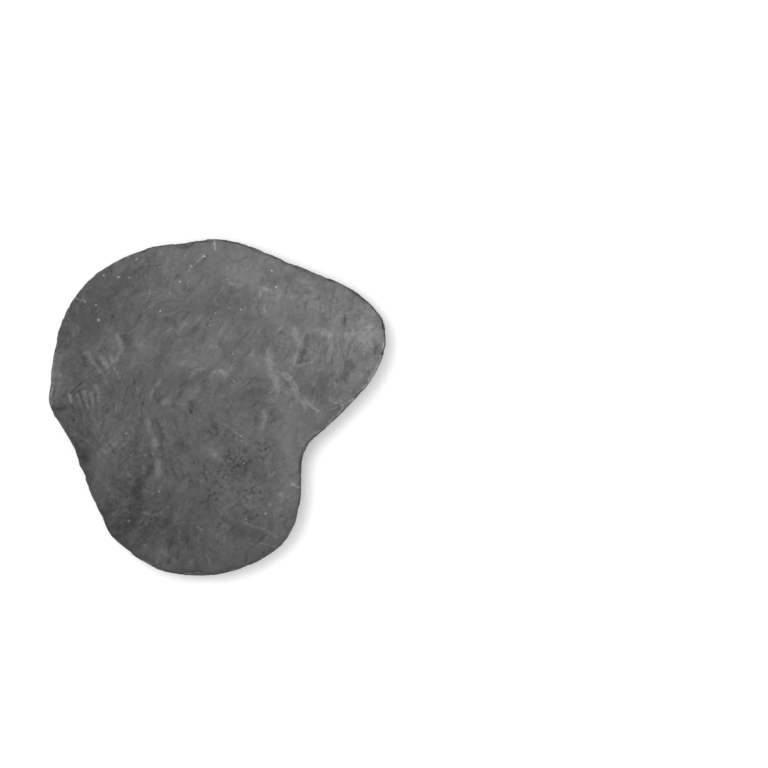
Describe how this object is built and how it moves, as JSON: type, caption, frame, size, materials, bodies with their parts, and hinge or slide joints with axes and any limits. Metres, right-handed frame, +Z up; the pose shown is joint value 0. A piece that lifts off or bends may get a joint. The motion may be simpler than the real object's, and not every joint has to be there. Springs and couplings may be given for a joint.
{
  "type": "slate slab",
  "caption": "Natural split slate slab with a flat walking face and a hammer-trimmed, free-form outline, laid flat as a stepping stone or paving piece.",
  "frame": {"origin": "on the ground, under the middle of the slab's footprint", "axes": "+Z up, out of the walking face; +X towards the rounded nose; +Y towards the long back edge"},
  "size_m": [0.4392, 0.4388, 0.03],
  "materials": {
    "slate": "matt riven slate, rubbed smooth on the walking face and rough along the trimmed edge"
  },
  "bodies": {
    "root": {"slate_slab": "slate"}
  },
  "joints": []
}
